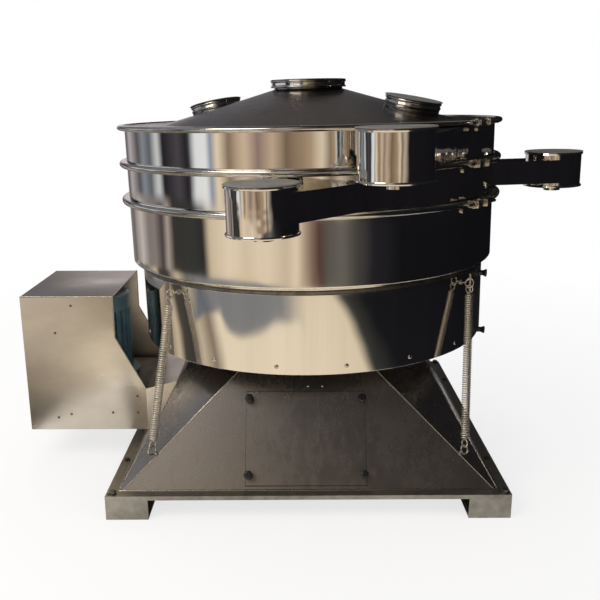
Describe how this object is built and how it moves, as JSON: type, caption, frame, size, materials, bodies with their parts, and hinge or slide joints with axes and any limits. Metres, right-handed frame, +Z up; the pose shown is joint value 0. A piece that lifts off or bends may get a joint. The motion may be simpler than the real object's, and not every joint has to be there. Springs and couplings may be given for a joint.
{
  "type": "tumbler sieve",
  "caption": "Round industrial tumbler sieve with an eccentric belt drive in a tapered pedestal, stacked drum frames, clamp rings, domed cover, discharge pots and guiding springs.",
  "frame": {"origin": "floor level under the drive shaft, at the middle of the four floor anchors", "axes": "+Z up, +Y to the rear, +X to the right as seen by someone facing the access door; the motor guard is on the -X side"},
  "size_m": [1.8644, 1.553, 1.2589],
  "materials": {
    "plate_steel": "satin",
    "sheet_stainless": "satin",
    "polished_stainless": "polished",
    "lid_stainless": "matte",
    "clamp_stainless": "satin",
    "fasteners": "bright",
    "spring_steel": "drawn wire",
    "cast_drive": "machined",
    "machined_steel": "ground",
    "motor_paint": "painted",
    "belt_rubber": "matte",
    "seal_rubber": "matte",
    "knob_plastic": "matte",
    "screen_metal": "woven"
  },
  "bodies": {
    "base": {"base_feet": "plate_steel", "base_plate": "plate_steel", "pedestal_shell": "sheet_stainless", "pedestal_top_plate": "machined_steel", "access_door": "sheet_stainless", "door_knobs": "knob_plastic", "bearing_housing": "cast_drive", "main_bearings": "machined_steel", "housing_bolts": "fasteners", "motor_plate": "machined_steel", "motor_body": "motor_paint", "fan_cover": "motor_paint", "terminal_box": "motor_paint", "v_belts": "belt_rubber", "motor_guard": "sheet_stainless", "belt_tunnel": "sheet_stainless", "spring_anchors": "fasteners"},
    "main_shaft": {"main_shaft": "machined_steel", "large_pulley": "cast_drive", "crank": "cast_drive", "counterweight": "cast_drive", "journal_washer": "fasteners"},
    "motor_rotor": {"motor_shaft": "machined_steel", "small_pulley": "cast_drive"},
    "drum": {"hub_housing": "cast_drive", "hub_bearings": "machined_steel", "support_frame": "machined_steel", "skirt": "polished_stainless", "skirt_screws": "fasteners", "side_hatch": "sheet_stainless", "wing_knobs": "knob_plastic", "spring_eyes": "fasteners", "lower_frame": "polished_stainless", "middle_frame": "polished_stainless", "top_frame": "polished_stainless", "frame_seals": "seal_rubber", "fines_pan": "screen_metal", "screen_deck": "screen_metal", "ball_tray": "screen_metal", "screen_balls": "seal_rubber", "cover": "polished_stainless", "neck_band_clamp": "clamp_stainless", "lower_clamp_ring": "clamp_stainless", "middle_clamp_ring": "clamp_stainless", "upper_clamp_ring": "clamp_stainless", "closure_bolts": "fasteners", "shell_studs": "fasteners", "front_pot": "polished_stainless", "upper_pot": "polished_stainless", "side_pot": "polished_stainless"},
    "front_pot_lid": {"front_pot_lid": "lid_stainless"},
    "upper_pot_lid": {"upper_pot_lid": "lid_stainless"},
    "side_pot_lid": {"side_pot_lid": "lid_stainless"},
    "right_port_lid": {"right_port_lid": "lid_stainless"},
    "left_port_lid": {"left_port_lid": "lid_stainless"},
    "rear_right_spring": {"rear_right_spring": "spring_steel"},
    "rear_left_spring": {"rear_left_spring": "spring_steel"},
    "front_left_spring": {"front_left_spring": "spring_steel"},
    "front_right_spring": {"front_right_spring": "spring_steel"}
  },
  "joints": [
    {"name": "shaft_turn", "type": "hinge", "parent": "base", "child": "main_shaft", "pos_m": [0, 0, 0.3], "axis": [0, 0, 1], "continuous": true},
    {"name": "drum_turn", "type": "hinge", "parent": "main_shaft", "child": "drum", "pos_m": [0.024, 0, 0.439], "axis": [-0.0209, 0, 0.9998], "continuous": true},
    {"name": "rotor_turn", "type": "hinge", "parent": "base", "child": "motor_rotor", "pos_m": [-0.722, 0, 0.3], "axis": [0, 0, 1], "continuous": true},
    {"name": "rear_right_swing", "type": "hinge", "parent": "base", "child": "rear_right_spring", "pos_m": [0.466, 0.512, 0.181], "axis": [-0.0875, -0.1836, 0.9791], "continuous": true, "deforming": ["rear_right_spring"]},
    {"name": "rear_left_swing", "type": "hinge", "parent": "base", "child": "rear_left_spring", "pos_m": [-0.466, 0.512, 0.181], "axis": [-0.0004, -0.2761, 0.9611], "continuous": true, "deforming": ["rear_left_spring"]},
    {"name": "front_left_swing", "type": "hinge", "parent": "base", "child": "front_left_spring", "pos_m": [-0.466, -0.512, 0.181], "axis": [0.0875, 0.1836, 0.9791], "continuous": true, "deforming": ["front_left_spring"]},
    {"name": "front_right_swing", "type": "hinge", "parent": "base", "child": "front_right_spring", "pos_m": [0.466, -0.512, 0.181], "axis": [0.0004, 0.2761, 0.9611], "continuous": true, "deforming": ["front_right_spring"]},
    {"name": "front_pot_lid_lift", "type": "slide", "parent": "drum", "child": "front_pot_lid", "axis": [-0.0209, 0, 0.9998], "range_m": [0, 0.1]},
    {"name": "upper_pot_lid_lift", "type": "slide", "parent": "drum", "child": "upper_pot_lid", "axis": [-0.0209, 0, 0.9998], "range_m": [0, 0.1]},
    {"name": "side_pot_lid_lift", "type": "slide", "parent": "drum", "child": "side_pot_lid", "axis": [-0.0209, 0, 0.9998], "range_m": [0, 0.1]},
    {"name": "right_port_lid_lift", "type": "slide", "parent": "drum", "child": "right_port_lid", "axis": [0.1571, -0.0905, 0.9834], "range_m": [0, 0.1]},
    {"name": "left_port_lid_lift", "type": "slide", "parent": "drum", "child": "left_port_lid", "axis": [-0.1981, 0.0905, 0.976], "range_m": [0, 0.1]}
  ],
  "couplings": [
    {"joint": "shaft_turn", "follows": "drum_turn", "ratio": -1},
    {"joint": "rotor_turn", "follows": "drum_turn", "ratio": -5.4444},
    {"joint": "rear_right_swing", "follows": "drum_turn", "ratio": -1},
    {"joint": "rear_left_swing", "follows": "drum_turn", "ratio": -1},
    {"joint": "front_left_swing", "follows": "drum_turn", "ratio": -1},
    {"joint": "front_right_swing", "follows": "drum_turn", "ratio": -1}
  ]
}
